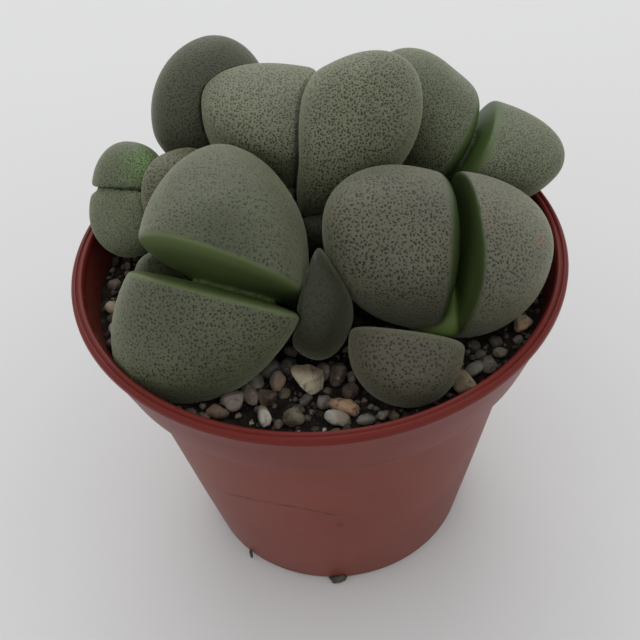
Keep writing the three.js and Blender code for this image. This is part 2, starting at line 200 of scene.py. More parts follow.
class Paint:
    """A material: its shader's constants, and the nodes that vary its colour, roughness and relief."""

    def __init__(self, name, **constants):
        self.material = bpy.data.materials.new(name)
        self.material.use_nodes = True
        self.tree = self.material.node_tree
        self.shader = self.tree.nodes["Principled BSDF"]
        for socket, value in constants.items():
            self.join(self.shader.inputs[socket.replace("_", " ")], value)

    def node(self, kind, settings=None, inputs=(), output=0):
        made = self.tree.nodes.new(kind)
        for name, value in (settings or {}).items():
            setattr(made, name, value)
        pairs = inputs.items() if isinstance(inputs, dict) else enumerate(inputs)
        for key, value in pairs:
            self.join(made.inputs[key], value)
        return Value(self, made.outputs[output])

    def join(self, socket, value):
        if isinstance(value, Value):
            self.tree.links.new(value.link, socket)
        elif isinstance(value, tuple) and len(value) == 3 and socket.type == "RGBA":
            socket.default_value = (*value, 1.0)
        else:
            socket.default_value = value

    def vector_math(self, operation, inputs, output=0):
        return self.node("ShaderNodeVectorMath", {"operation": operation}, inputs, output)

    def place(self):
        return self.node("ShaderNodeTexCoord", output="Object")

    def along(self, axis):
        """How far a point is along an axis, in metres."""
        return self.node("ShaderNodeSeparateXYZ", {}, (self.place(),), axis)

    def attribute(self, name, output="Fac"):
        return self.node("ShaderNodeAttribute", {"attribute_name": name}, output=output)

    def noise(self, scale, detail=2.0, roughness=0.5, output="Fac"):
        inputs = {"Scale": scale, "Detail": detail, "Roughness": roughness, "Vector": self.place()}
        return self.node("ShaderNodeTexNoise", {}, inputs, output)

    def cells(self, scale, vector=None, output="Distance", dimensions="3D"):
        inputs = {"Scale": scale, "Vector": vector or self.place(), "Randomness": 0.9}
        return self.node("ShaderNodeTexVoronoi", {"voronoi_dimensions": dimensions}, inputs, output)

    def surface_dots(self, place, scale, directions, sizes):
        """Evenly spaced dots of varied size. `sizes` are a dot's radii, in spacings, to where it is still
        full and to its faded edge."""
        total = None
        for turn, share in directions:
            flat = self.node("ShaderNodeMapping", {}, {"Vector": place, "Rotation": turn})
            away = self.cells(scale, flat, dimensions="2D")
            kind = self.cells(scale, flat, "Color", "2D")
            size = self.node("ShaderNodeSeparateColor", {}, (kind,))
            dots = (away - (size - 0.5) * 0.2).between(sizes[1], sizes[0]) * share
            total = dots if total is None else total + dots
        return total

    def directions(self):
        """The turns that bring Z to three directions at right angles, and the share of the surface that
        faces each the most."""
        half = math.radians(45)
        turns = (((-half, 0, 0), (0, -math.sin(half), math.cos(half))),
                 ((half, 0, 0), (0, math.sin(half), math.cos(half))),
                 ((0, math.radians(90), 0), (1, 0, 0)))
        normal = self.node("ShaderNodeNewGeometry", output="Normal")
        facing = [self.vector_math("DOT_PRODUCT", (normal, direction), "Value") for _, direction in turns]
        facing = [share.math("ABSOLUTE", share) for share in facing]
        result = []
        for index, (turn, _) in enumerate(turns):
            others = facing[index - 1].largest(facing[index - 2])
            result.append((turn, (facing[index] - others).between(-0.04, 0.04)))
        return result

    def blend(self, factor, low, high):
        """Mixes two colours."""
        settings = {"data_type": "RGBA", "clamp_factor": True}
        return self.node("ShaderNodeMix", settings, {0: factor, 6: low, 7: high}, 2)

    def shifted(self, vector, amount, scale):
        """Object coordinates, moved by noise to and fro by up to `amount` metres."""
        wander = self.noise(scale, 1.0, output="Color")
        centred = self.vector_math("SUBTRACT", (wander, (0.5, 0.5, 0.5)))
        scaled = self.vector_math("SCALE", {0: centred, "Scale": amount})
        return self.vector_math("ADD", (vector, scaled))

    def spot(self, at_mm, radius_mm):
        """1 at a point on the surface, and 0 further than `radius_mm` from it."""
        point = tuple(value * MM for value in at_mm)
        distance = self.vector_math("DISTANCE", (self.place(), point), "Value")
        return distance.between(radius_mm * MM, 0.0)

    def colour(self, value):
        self.join(self.shader.inputs["Base Color"], value)

    def roughness(self, value):
        self.join(self.shader.inputs["Roughness"], value)

    def second_finish(self, share, colour, **constants):
        """Another finish of the same material, which takes the place of the first where `share` is 1."""
        inputs = {socket.replace("_", " "): value for socket, value in constants.items()}
        other = self.node("ShaderNodeBsdfPrincipled", {}, {**inputs, "Base Color": colour})
        first = Value(self, self.shader.outputs[0])
        mixed = self.node("ShaderNodeMixShader", {}, {0: share, 1: first, 2: other})
        self.join(self.tree.nodes["Material Output"].inputs["Surface"], mixed)

    def relief(self, height, distance, strength):
        inputs = {"Height": height, "Distance": distance, "Strength": strength}
        self.join(self.shader.inputs["Normal"], self.node("ShaderNodeBump", {}, inputs))


def multiplied(values, factor, lift=0.0):
    return tuple(value * factor + lift for value in values)


def leaf_skin(name, skin, spacing, dots=DARK_DOTS, dot_size=0.24, face=None, deep=None, saddle=None,
              blush=None, patches=()):
    """Waxy skin with dark dots under it, and plain inner faces, with painted sheen on the wax, painted
    shade in a closed seam and painted light and shade deep in the cleft.
    """
    paint = Paint(name, Roughness=0.5, Specular_IOR_Level=0.3, Sheen_Weight=SHEEN, Sheen_Roughness=0.42,
                  Sheen_Tint=SHEEN_TINT)
    place = paint.place()
    scale = 1.0 / (spacing * MM)
    warped = paint.shifted(place, 0.9 * spacing * MM, 0.6 * scale)
    directions = paint.directions()
    spotted = paint.attribute("spots")
    thinly = paint.noise(110.0, 3.0, 0.6)
    # Dark dots, and finer and fainter ones between them.
    coarse = paint.surface_dots(warped, scale, directions, (dot_size - 0.05, dot_size + 0.09))
    small = paint.surface_dots(warped, 2.1 * scale, directions, (0.1, 0.36)) * 0.55
    dotted = coarse.largest(small * thinly.between(0.25, 0.55)) * spotted

    # Slow patches and fine grain of lighter and darker skin, then the paler wax, partly painted sheen, the
    # patches, the dots and the painted shade of a closed seam.
    mottle = paint.noise(60.0, 3.0, 0.6)
    colour = paint.blend(mottle.between(0.34, 0.66), skin, multiplied(skin, 0.8))
    grain = paint.noise(1500.0, 2.0, 0.6)
    colour = paint.blend(grain.between(0.45, 0.8) * 0.5, colour, multiplied(skin, 1.25))
    if blush:
        rosy = paint.noise(130.0, 3.0, 0.65).between(0.5, 0.72) * 0.35
        colour = paint.blend(rosy, colour, blush)
    # Paler skin: partly the wax's own colour and partly painted sheen.
    colour = paint.blend(paint.attribute("wax_and_painted_sheen") * 0.6, colour, multiplied(skin, 1.3, 0.004))
    # Patches of colour; the darker one on the left front pair's upper leaf is painted shade.
    for middle, radius, tint in patches:
        colour = paint.blend(paint.spot(middle, radius) * mottle.between(0.2, 0.5), colour, tint)
    colour = paint.blend(dotted * 0.9, colour, dots)
    # Painted shade: a dark line where the two leaves meet in a closed seam.
    colour = paint.blend(paint.attribute("seam_and_painted_shade") * 0.92, colour, SEAM_SHADE_COLOUR)
    paint.colour(colour)
    paint.roughness(0.48 + grain * 0.14)
    height = grain * 0.4 + paint.noise(420.0, 2.0) * 0.8 - dotted * 0.7
    paint.relief(height, 0.00012, 0.6)
    if face:
        # Towards `deep` and `saddle`: painted light shining through the leaf into the cleft, and painted
        # shade where its bottom is a dark crease.
        lobe = paint.blend(paint.attribute("depth"), face, deep)
        lobe = paint.blend(mottle.between(0.3, 0.7) * 0.25, lobe, multiplied(face, 0.7))
        lobe = paint.blend(paint.attribute("saddle"), lobe, saddle)
        paint.second_finish(paint.attribute("cleft"), lobe, Roughness=0.42, Specular_IOR_Level=0.22)
    return paint


def pot_plastic():
    """Moulded terracotta-coloured plastic, a little dusty, with a faint scrape, a dirt blot, darker
    patches at the foot and painted shade on the collar and inner wall.
    """
    paint = Paint("terracotta_plastic", Roughness=0.4, Specular_IOR_Level=0.12)
    cloudy = paint.noise(26.0, 4.0, 0.6)
    rim = paint.attribute("rim")
    colour = paint.blend(cloudy.between(0.3, 0.75), (0.178, 0.046, 0.034), (0.150, 0.040, 0.030))
    # The inner wall is painted darker as shade.
    colour = paint.blend(paint.attribute("inside"), colour, (0.14, 0.036, 0.026))
    # Darker red on the rim's top, its own colour; the collar takes half of it as painted shade.
    colour = paint.blend(rim, colour, (0.120, 0.015, 0.011))
    dust = paint.noise(900.0, 4.0, 0.7).between(0.55, 0.8) * paint.noise(40.0, 3.0).between(0.4, 0.7)
    colour = paint.blend(dust * 0.18, colour, (0.36, 0.24, 0.19))
    # On the front: a thin bent scrape, a dark line of painted shade under the collar, a blot, and darker
    # patches at the foot.
    x, y, z = (paint.along(axis) * (1 / MM) for axis in "XYZ")
    front = y.between(0.0, -10.0)
    offset = x + 12.2
    bow = z - 40.2 + offset * offset * 0.028 + (paint.noise(160.0, 2.0) - 0.5) * 3.0
    scrape = (bow * bow).between(0.4, 0.03) * x.between(-28.0, -22.0) * x.between(1.0, -2.0)
    collar_edge = z - SHOULDER - 0.5
    # Painted shade: a dark line along the collar's lower edge.
    collar_edge_shade = (collar_edge * collar_edge).between(0.4, 0.05) * x.between(4.0, 9.0) * x.between(18.0, 13.0)
    blot = paint.spot((-0.3, -38.6, 31.1), 1.7)
    broken = paint.noise(420.0, 3.0, 0.7).between(0.35, 0.55)
    marks = (scrape + collar_edge_shade * 0.8) * broken * front
    colour = paint.blend(marks.largest(blot) * 0.7, colour, (0.040, 0.014, 0.012))
    # Darker in broken patches towards the foot.
    foot = z.between(3.0, 0.3) * broken
    colour = paint.blend(foot * 0.4, colour, (0.055, 0.026, 0.022))
    paint.colour(colour)
    paint.roughness(0.34 + cloudy * 0.14 + dust * 0.2 - rim * 0.12)
    height = paint.noise(1400.0, 3.0, 0.6) * 0.35 + paint.noise(160.0, 2.0) * 0.9
    paint.relief(height, 0.00006, 0.5)
    return paint


def soil_mix():
    """Dark peaty mix."""
    paint = Paint("peaty_soil", Roughness=0.92, Specular_IOR_Level=0.2)
    crumbs = paint.cells(900.0, output="Color")
    red = paint.node("ShaderNodeSeparateColor", {}, (crumbs,))
    patch = paint.noise(240.0, 4.0, 0.7)
    colour = paint.blend(patch.between(0.3, 0.7), (0.007, 0.006, 0.0045), (0.022, 0.017, 0.012))
    colour = paint.blend(red.between(0.84, 0.98) * 0.5, colour, (0.06, 0.05, 0.036))
    paint.colour(colour)
    height = paint.noise(1300.0, 4.0, 0.75) + paint.cells(650.0) * -0.8
    paint.relief(height, 0.0004, 0.9)
    return paint


def grit_stone():
    """Small stones: each has its own colour, with flecks and a little dirt."""
    paint = Paint("grit_stone", Roughness=0.7, Specular_IOR_Level=0.4)
    tint = paint.attribute("tint", "Color")
    flecks = paint.noise(1900.0, 4.0, 0.75)
    lighter = paint.blend(flecks.between(0.5, 0.8) * 0.4, tint, (0.52, 0.48, 0.4))
    veined = paint.noise(520.0, 3.0, 0.7)
    colour = paint.blend(veined.between(0.5, 0.7) * 0.75, lighter, (0.045, 0.035, 0.024))
    paint.colour(colour)
    paint.roughness(0.55 + flecks * 0.3)
    paint.relief(flecks * 0.7 + veined * 0.5, 0.00018, 0.8)
    return paint


def root_bark():
    """Dry brown root crowns and root ends."""
    paint = Paint("root_bark", Roughness=0.85, Specular_IOR_Level=0.25)
    fibres = paint.noise(800.0, 4.0, 0.7)
    paint.colour(paint.blend(fibres.between(0.3, 0.7), (0.05, 0.028, 0.016), (0.14, 0.09, 0.05)))
    paint.relief(fibres, 0.0003, 0.8)
    return paint


def studio_floor():
    """Plain pale surface."""
    paint = Paint("studio_floor", Roughness=0.75, Specular_IOR_Level=0.2)
    paint.colour(paint.blend(paint.noise(3.0, 2.0), (0.598, 0.600, 0.603), (0.612, 0.614, 0.617)))
    return paint


# ---- mesh helpers ----
def add_object(name, data):
    made = bpy.data.objects.new(name, data)
    bpy.context.scene.collection.objects.link(made)
    return made


def make_piece(name, points_mm, faces, material):
    mesh = bpy.data.meshes.new(name)
    mesh.from_pydata((np.asarray(points_mm) * MM).tolist(), [], faces)
    mesh.shade_smooth()
    mesh.materials.append(material)
    return add_object(name, mesh)


def values_of(items, name, width, kind=float):
    values = np.empty(len(items) * width, dtype=kind)
    items.foreach_get(name, values)
    return values.reshape(-1, width)


def points_of(mesh):
    return values_of(mesh.vertices, "co", 3) / MM


def edges_of(mesh):
    return values_of(mesh.edges, "vertices", 2, np.int64)


def set_points(mesh, points_mm):
    mesh.vertices.foreach_set("co", (points_mm * MM).ravel())
    mesh.update()


def normals_of(mesh, points_mm):
    set_points(mesh, points_mm)
    return values_of(mesh.vertices, "normal", 3)


def add_number(mesh, name, values):
    numbers = mesh.attributes.new(name, "FLOAT", "POINT").data
    numbers.foreach_set("value", np.asarray(values, dtype=np.float32))


class Net:
    """A mesh's edges, for smoothing points or values over its surface."""

    def __init__(self, edges, count):
        self.first = np.concatenate([edges[:, 0], edges[:, 1]])
        self.second = np.concatenate([edges[:, 1], edges[:, 0]])
        self.count = count
        self.around = np.maximum(np.bincount(self.first, minlength=count), 1)

    def mean(self, values):
        total = np.bincount(self.first, weights=values[self.second], minlength=self.count)
        return total / self.around

    def smooth(self, values, rounds, weight=1.0, amount=0.6):
        values = np.array(values, dtype=float)
        if values.ndim > 1:
            return np.stack([self.smooth(column, rounds, weight, amount) for column in values.T], axis=1)
        for _ in range(rounds):
            values += amount * weight * (self.mean(values) - values)
        return values


def soft_step(values, low, high):
    """0 at `low` and 1 at `high`, with soft ends."""
    t = np.clip((values - low) / (high - low), 0, 1)
    return t * t * (3 - 2 * t)


def random_direction(rng):
    direction = np.array([rng.gauss(0, 1) for _ in range(3)])
    return direction / np.linalg.norm(direction)


# ---- leaf bodies ----
def head_axes(turned, leaning):
    yaw = math.radians(turned)
    tilt = Matrix.Rotation(math.radians(math.hypot(*leaning)), 3, Vector((-leaning[1], leaning[0], 0)))
    along = tilt @ Vector((math.cos(yaw), math.sin(yaw), 0))
    across = tilt @ Vector((math.sin(yaw), -math.cos(yaw), 0))
    up = tilt @ Vector((0, 0, 1))
    return np.array(along), np.array(across), np.array(up)


class LeafBody:
    """A rounded solid with a flatter face towards the cleft."""

    def __init__(self, at, turned, leaning, inside, roundness, shape):
        along, across, up = head_axes(turned, leaning)
        angle = math.radians(shape.opens)
        out = across * shape.side
        back = out * math.cos(angle) - up * math.sin(angle)
        leaf_up = up * math.cos(angle) + out * math.sin(angle)
        self.axes = np.array([back, along, leaf_up])
        self.at = np.array(at, dtype=float)
        self.centre = np.array(shape.centre, dtype=float)
        self.side, self.slant = shape.side, shape.slant
        self.thick, self.wide, self.tall = shape.thick, shape.wide, shape.tall
        self.inside, self.roundness = inside, roundness
        self.scale = (sum(self.thick) + sum(self.wide) + sum(self.tall)) / 6

    def surface(self, across, along, up):
        """Points for unit directions from the body's centre."""
        full = 2 / self.roundness
        power = np.where(across > 0, full, 2 / self.inside)
        thick = np.where(across > 0, self.thick[1], -self.thick[0]) * np.abs(across) ** power
        wide = np.where(along > 0, self.wide[1], self.wide[0]) * np.sign(along) * np.abs(along) ** full
        tall = np.where(up > 0, self.tall[1], self.tall[0]) * np.sign(up) * np.abs(up) ** full
        depth = np.clip(-tall / self.tall[0], 0, 1)
        wide = wide * (1 - UNDERSIDE_TAPER * depth**1.5)
        own = np.stack([thick, wide + self.slant[0] * thick, tall + self.slant[1] * thick], axis=-1)
        return self.at + (self.centre + own) @ self.axes

    def own(self, points):
        """Each point's place in the body: across, along and up."""
        place = (points - self.at) @ self.axes.T - self.centre
        thick = place[:, 0]
        return thick, place[:, 1] - self.slant[0] * thick, place[:, 2] - self.slant[1] * thick

    def shares(self, points, grow=0.0):
        """What each direction adds to the body's field: the sum is 1 on its surface."""
        thick, wide, tall = self.own(points)
        down, rise = self.tall[0] + grow, self.tall[1] + grow
        depth = np.clip(-tall / down, 0, 1)
        wide = wide / (1 - UNDERSIDE_TAPER * depth**1.5)
        power = np.where(thick > 0, self.roundness, self.inside)
        across = np.abs(thick) / (np.where(thick > 0, self.thick[1], self.thick[0]) + grow)
        along = np.abs(wide) / (np.where(wide > 0, self.wide[1], self.wide[0]) + grow)
        up = np.abs(tall) / np.where(tall > 0, rise, down)
        return across**power, along**self.roundness, up**self.roundness

    def field(self, points, grow=0.0):
        return sum(self.shares(points, grow)) ** (1 / self.roundness)

    def push_out(self, points, grow, rounds=16, longest=0.7):
        """Moves the points that are inside the body to its surface. Returns which ones moved."""
        moved = np.flatnonzero(self.field(points, grow) < 1)
        if not len(moved):
            return moved
        step = 0.02
        for _ in range(rounds):
            there = points[moved]
            value = self.field(there, grow)
            shifts = np.eye(3) * step
            rises = [self.field(there + shift, grow) - value for shift in shifts]
            slope = np.stack(rises, axis=1) / step
            size = np.maximum(np.linalg.norm(slope, axis=1), 1e-6)
            distance = np.clip((1 - value) / size, -longest, longest)
            points[moved] += slope / size[:, None] * distance[:, None]
        return moved

    def mesh(self):
        """Points and faces of the body, with its poles in the middle of the inner face and the back."""
        fine = np.linspace(0, np.pi, 1201)
        reach = (self.wide[0] + self.wide[1] + self.tall[0] + self.tall[1]) / 4
        cosine, sine = np.cos(fine), np.abs(np.sin(fine))
        full = 2 / self.roundness
        thick = np.where(
            cosine > 0,
            self.thick[1] * np.abs(cosine) ** full,
            -self.thick[0] * np.abs(cosine) ** (2 / self.inside),
        )
        length = np.concatenate([[0], np.cumsum(np.hypot(np.diff(thick), np.diff(reach * sine**full)))])
        rings = np.interp(np.linspace(0, length[-1], LEAF_RINGS + 2), length, fine)
        turns = np.linspace(0, 2 * np.pi, LEAF_SIDES, endpoint=False)
        ring, turn = np.meshgrid(rings[1:-1], turns, indexing="ij")
        directions = [np.cos(ring).ravel(), (np.sin(ring) * np.cos(turn)).ravel(),
                      (np.sin(ring) * np.sin(turn)).ravel()]
        poles = [np.array([1.0, -1.0]), np.zeros(2), np.zeros(2)]
        points = self.surface(*[np.concatenate(pair) for pair in zip(directions, poles)])
        last = LEAF_RINGS * LEAF_SIDES
        faces = []
        for i in range(LEAF_SIDES):
            j = (i + 1) % LEAF_SIDES
            faces.append((last, i, j))
            for row in range(0, last - LEAF_SIDES, LEAF_SIDES):
                faces.append((row + i, row + LEAF_SIDES + i, row + LEAF_SIDES + j, row + j))
            faces.append((last - LEAF_SIDES + j, last - LEAF_SIDES + i, last + 1))
        if self.side > 0:
            faces = [face[::-1] for face in faces]
        return points, faces


def bodies_of(spec):
    """A head's leaves, and the crown that they grow from."""
    stance = (spec.at, spec.turned, spec.leaning)
    bodies = [LeafBody(*stance, spec.inside, spec.roundness, shape) for shape in spec.leaves]
    if spec.crown:
        across, along, down, up = spec.crown
        shape = Leaf(1, 0, (0, 0, 0), (across, across), (along, along), (down, up), (0, 0))
        bodies.append(LeafBody(*stance, spec.roundness, spec.roundness, shape))
    return bodies


# ---- the pot's shape ----
def outer_radius(z):
    if z < SHOULDER:
        return BASE_RADIUS + (BODY_TOP_RADIUS - BASE_RADIUS) * z / SHOULDER
    slope = (RIM_RADIUS - LIP_STEP - COLLAR_BOTTOM_RADIUS) / (COLLAR_HEIGHT - LIP_HEIGHT)
    return COLLAR_BOTTOM_RADIUS + slope * (z - SHOULDER)


def clear_of_rim(points):
    """Moves points that are in the pot's rim or wall to the nearest clear place."""
    radius = np.hypot(points[:, 0], points[:, 1])
    lip = POT_HEIGHT - LIP_HEIGHT
    inner = np.where(
        points[:, 2] > lip,
        RIM_RADIUS - RIM_WIDTH - LIP_UNDERSIDE,
        [outer_radius(z) - WALL for z in points[:, 2]],
    ) - GAP
    inward = radius - inner
    upward = POT_HEIGHT + GAP - points[:, 2]
    outward = RIM_RADIUS + GAP - radius
    stuck = (inward > 0) & (upward > 0) & (outward > 0)
    above = stuck & (upward <= inward) & (upward <= outward)
    points[above, 2] = POT_HEIGHT + GAP
    beside = stuck & ~above
    target = np.where(inward < outward, inner, RIM_RADIUS + GAP)
    points[beside, :2] *= (target / np.maximum(radius, 1e-6))[beside, None]
    return np.flatnonzero(stuck)


# ---- finished leaves ----
def joined(bodies):
    points, faces = [], []
    for body in bodies:
        start = sum(len(part) for part in points)
        own_points, own_faces = body.mesh()
        points.append(own_points)
        faces += [tuple(index + start for index in face) for face in own_faces]
    return np.concatenate(points), faces


def apply_modifiers(piece):
    evaluated = piece.evaluated_get(bpy.context.evaluated_depsgraph_get())
    mesh = bpy.data.meshes.new_from_object(evaluated)
    piece.modifiers.clear()
    old, piece.data = piece.data, mesh
    bpy.data.meshes.remove(old)
    return mesh


def remeshed(piece, voxel_mm):
    """Joins the parts of a piece into one even skin."""
    modifier = piece.modifiers.new("remesh", "REMESH")
    modifier.mode = "VOXEL"
    modifier.voxel_size = voxel_mm * MM
    modifier.use_smooth_shade = True
    return apply_modifiers(piece)


def waves(points, rng, shortest, longest, count=7):
    """A slow, soft unevenness between about -1 and 1."""
    total = np.zeros(len(points))
    for _ in range(count):
        direction = random_direction(rng)
        wavelength = rng.uniform(shortest, longest)
        total += np.sin(points @ direction * (2 * math.pi / wavelength) + rng.uniform(0, 6.28))
    return total / math.sqrt(count)


# The width of the joint between a head's bodies, as a share of a body, the rounds that smooth an open or a
# closed joint and each mark, and how often a skin is pushed clear of its neighbours.
JOINT_WIDTH = 0.125
OPEN_SMOOTHING = 30
CLOSED_SMOOTHING = 5
PUSH_ROUNDS = 3
MARK_SMOOTHING = {"cleft": 2, "spots": 3, "depth": 12, "wax_and_painted_sheen": 6, "saddle": 5, "seam_and_painted_shade": 0}


def leaf_marks(points, normals, bodies, plain_faces):
    """Where the skin is spotted, paler with wax and painted sheen, or dark with painted shade in a closed
    seam, and where the cleft's plain face is, with its depth and its bottom."""
    fields = np.stack([body.field(points) for body in bodies])
    nearest = np.abs(fields - 1).argmin(axis=0)
    marks = {name: np.zeros(len(points)) for name in MARK_SMOOTHING}
    marks["spots"] += 1
    for index, body in enumerate(bodies[:2]):  # the leaves
        mine = nearest == index
        across, along, up = body.shares(points)
        thick, _, tall = body.own(points)
        total = np.maximum(across + along + up, 1e-6)
        facing = np.where(thick < 0, across / total, 0)
        height = np.where(tall > 0, tall / body.tall[1], tall / body.tall[0])
        inner = soft_step(-(normals @ body.axes[0]), 0.3, 0.55) * (thick < 0.5) * plain_faces
        fade = soft_step(height, -0.95, -0.55)
        marks["cleft"][mine] = inner[mine]
        marks["depth"][mine] = soft_step(facing * 0.5 - height * 0.5, 0.1, 0.75)[mine]
        marks["spots"][mine] = (fade * (1 - inner))[mine]
        # Paler waxy skin low on the leaf: partly the wax's own colour and partly painted sheen.
        marks["wax_and_painted_sheen"][mine] = np.maximum(1 - fade, 0.5 * inner)[mine]
    if len(bodies) > 1:  # the crown, and where the leaves meet
        mine = nearest == 2
        marks["cleft"][mine] = (soft_step(bodies[2].own(points)[2], -3, -1) * plain_faces)[mine]
        marks["saddle"][mine] = 1.0
        marks["spots"][mine] = 0.0
        marks["wax_and_painted_sheen"][mine] = 0.3
        bottom = soft_step(np.maximum(fields[0], fields[1]), 1.5, 1.25) * plain_faces
        marks["cleft"] = np.maximum(marks["cleft"], bottom)
        marks["saddle"] = np.maximum(marks["saddle"], bottom)
        marks["spots"] *= 1 - bottom
        # Where two leaves meet without a plain face: a groove pressed in a little, with painted shade
        # along it.
        between = np.abs(fields[0] - fields[1]) * bodies[0].scale
        seam = soft_step(between, 2.2, 1.0) * soft_step(fields[0], 2.2, 1.9)
        marks["seam_and_painted_shade"] = seam * (not plain_faces)
    return marks


def finish_head(name, spec, earlier, material, seed):
    """Adds a head's leaves as one skin, clear of the earlier heads and the pot. Returns its bodies."""
    plain_faces = "face" in SKINS[name]
    bodies = bodies_of(spec)
    points, faces = joined(bodies)
    piece = make_piece(f"{name}_skin", points, faces, material)
    mesh = remeshed(piece, LEAF_VOXEL)
    points = points_of(mesh)
    net = Net(edges_of(mesh), len(points))
    points = net.smooth(points, 4, amount=0.5)

    fields = np.sort(np.abs([body.field(points) - 1 for body in bodies]), axis=0)
    if len(bodies) > 1:
        joint = np.exp(-((fields[1] / JOINT_WIDTH) ** 2))
        points = net.smooth(points, OPEN_SMOOTHING if plain_faces else CLOSED_SMOOTHING, weight=joint)

    rng = random.Random(seed)
    outwards = points - points.mean(axis=0)
    outwards /= np.linalg.norm(outwards, axis=1)[:, None]
    points += outwards * (waves(points, rng, 14, 30) * SKIN_WAVE_HEIGHT)[:, None]

    normals = normals_of(mesh, points)
    marks = leaf_marks(points, normals, bodies, plain_faces)
    points -= normals * (marks["seam_and_painted_shade"] * SEAM_DEPTH)[:, None]

    for attempt in range(PUSH_ROUNDS):
        touched = np.zeros(len(points))
        for body in earlier:
            touched[body.push_out(points, LEAF_GAP)] = 1
        touched[clear_of_rim(points)] = 1
        if attempt < PUSH_ROUNDS - 1:
            soft = np.clip(net.smooth(touched, 6) * 3, 0, 1)
            points = net.smooth(points, 6, weight=soft)
    set_points(mesh, points)
    for mark, rounds in MARK_SMOOTHING.items():
        add_number(mesh, mark, net.smooth(marks[mark], rounds))
    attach(piece, "root")
    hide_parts(name)
    return bodies


# Each skin's `skin` and `dots` are colours, `spacing` is the dots' distance in mm and `dot_size` their
# radius in spacings. `face`, `deep` and `saddle` are the inner face's colours: at its edge, deep in the
# cleft and at its bottom. Where `deep` and `saddle` are lighter than `face` they are painted light shining
# through the leaf, and the near-black `saddle` of the left front pair is painted shade. `blush` is a
# second tint in places, and `patches` are spots of colour, one of them painted shade.
SKINS = {
    "leaf_pair_right_front": dict(
        skin=(0.098, 0.098, 0.066), dots=(0.01, 0.011, 0.006), spacing=0.7, dot_size=0.26,
        # Painted light shining through the leaf, deep in the cleft and at its bottom.
        face=(0.036, 0.053, 0.017), deep=(0.105, 0.155, 0.04), saddle=(0.15, 0.215, 0.06),
        blush=(0.115, 0.08, 0.052), patches=[((43.1, -18.6, 91.2), 2.2, (0.17, 0.075, 0.04))]),
    "leaf_pair_left_front": dict(
        skin=(0.08, 0.089, 0.05), spacing=0.7, dot_size=0.24,
        # Painted light shining through the leaf deep in the cleft, and painted shade at the cleft's
        # bottom.
        face=(0.098, 0.13, 0.05), deep=(0.27, 0.365, 0.135), saddle=(0.02, 0.03, 0.01),
        patches=[((3.0, -31.0, 88.0), 7.0, (0.1, 0.085, 0.045)),
                 # Painted shade on the front of the upper leaf, which leans away from the light.
                 ((-17.0, -25.0, 105.0), 13.0, (0.04, 0.047, 0.022))]),
    "leaf_pair_centre_back": dict(skin=(0.132, 0.143, 0.086), spacing=0.58, dot_size=0.28),
    "leaf_pair_right_back": dict(
        skin=(0.115, 0.128, 0.074), dots=(0.017, 0.023, 0.01), spacing=0.52, dot_size=0.29,
        # Painted light shining through the leaf, deep in the cleft and at its bottom.
        face=(0.06, 0.092, 0.029), deep=(0.08, 0.135, 0.032), saddle=(0.08, 0.135, 0.032)),
    "leaf_pair_left_back": dict(
        skin=(0.056, 0.058, 0.034), spacing=0.58, dot_size=0.28,
        face=(0.055, 0.066, 0.03), deep=(0.05, 0.062, 0.022), saddle=(0.04, 0.052, 0.018)),
    "leaf_pair_left": dict(
        skin=(0.115, 0.133, 0.076), dots=(0.028, 0.035, 0.017), spacing=0.45, dot_size=0.27,
        patches=[((-33.0, 16.0, 92.0), 10.0, (0.14, 0.26, 0.08)),
                 ((-40.0, 5.0, 79.5), 6.5, (0.055, 0.06, 0.032))]),
    "old_leaf_right_front": dict(
        skin=(0.068, 0.062, 0.041), dots=(0.01, 0.01, 0.006), spacing=0.8, dot_size=0.24,
        blush=(0.09, 0.062, 0.04)),
    "old_leaf_centre_front": dict(
        skin=(0.021, 0.022, 0.01), dots=(0.008, 0.009, 0.004), spacing=0.8, dot_size=0.22),
    "old_leaf_left_front": dict(skin=(0.06, 0.068, 0.034), spacing=0.85, dot_size=0.18),
    "old_leaf_left": dict(
        skin=(0.11, 0.108, 0.064), dots=(0.016, 0.016, 0.009), spacing=0.62, dot_size=0.27,
        blush=(0.13, 0.085, 0.05)),
    "old_leaf_centre": dict(skin=(0.045, 0.05, 0.028), spacing=0.75),
}


def build_leaves():
    bodies = []
    for seed, (name, spec) in enumerate(HEADS.items()):
        paint = leaf_skin(f"{name}_surface", **SKINS[name])
        bodies += finish_head(name, spec, bodies, paint.material, seed + 11)
    return bodies


# ---- the finished pot ----
def rounded(points, radius, steps=4):
    """The profile with its corners turned into arcs of up to `radius`."""
    result = []
    for before, corner, after in zip(points[:-2], points[1:-1], points[2:]):
        corner = np.array(corner, dtype=float)
        sides = [np.array(point) - corner for point in (before, after)]
        lengths = [np.linalg.norm(side) for side in sides]
        size = min(radius, 0.45 * lengths[0], 0.45 * lengths[1])
        start, end = (corner + side / length * size for side, length in zip(sides, lengths))
        for t in np.linspace(0, 1, steps + 1):
            result.append((1 - t) ** 2 * start + 2 * t * (1 - t) * corner + t**2 * end)
    return [np.array(points[0], dtype=float)] + result + [np.array(points[-1], dtype=float)]


def turned_mesh(profile, sides):
    """Points and faces of a profile turned about the Z axis. Its ends lie on the axis."""
    turns = np.linspace(0, 2 * np.pi, sides, endpoint=False)
    middle = profile[1:-1]
    points = [(r * math.cos(t), r * math.sin(t), z) for r, z in middle for t in turns]
    points += [(0, 0, profile[0][1]), (0, 0, profile[-1][1])]
    faces = []
    last = (len(middle) - 1) * sides
    for i in range(sides):
        j = (i + 1) % sides
        faces.append((len(points) - 2, j, i))
        for row in range(0, last, sides):
            faces.append((row + i, row + j, row + sides + j, row + sides + i))
        faces.append((last + i, last + j, len(points) - 1))
    return np.array(points), faces


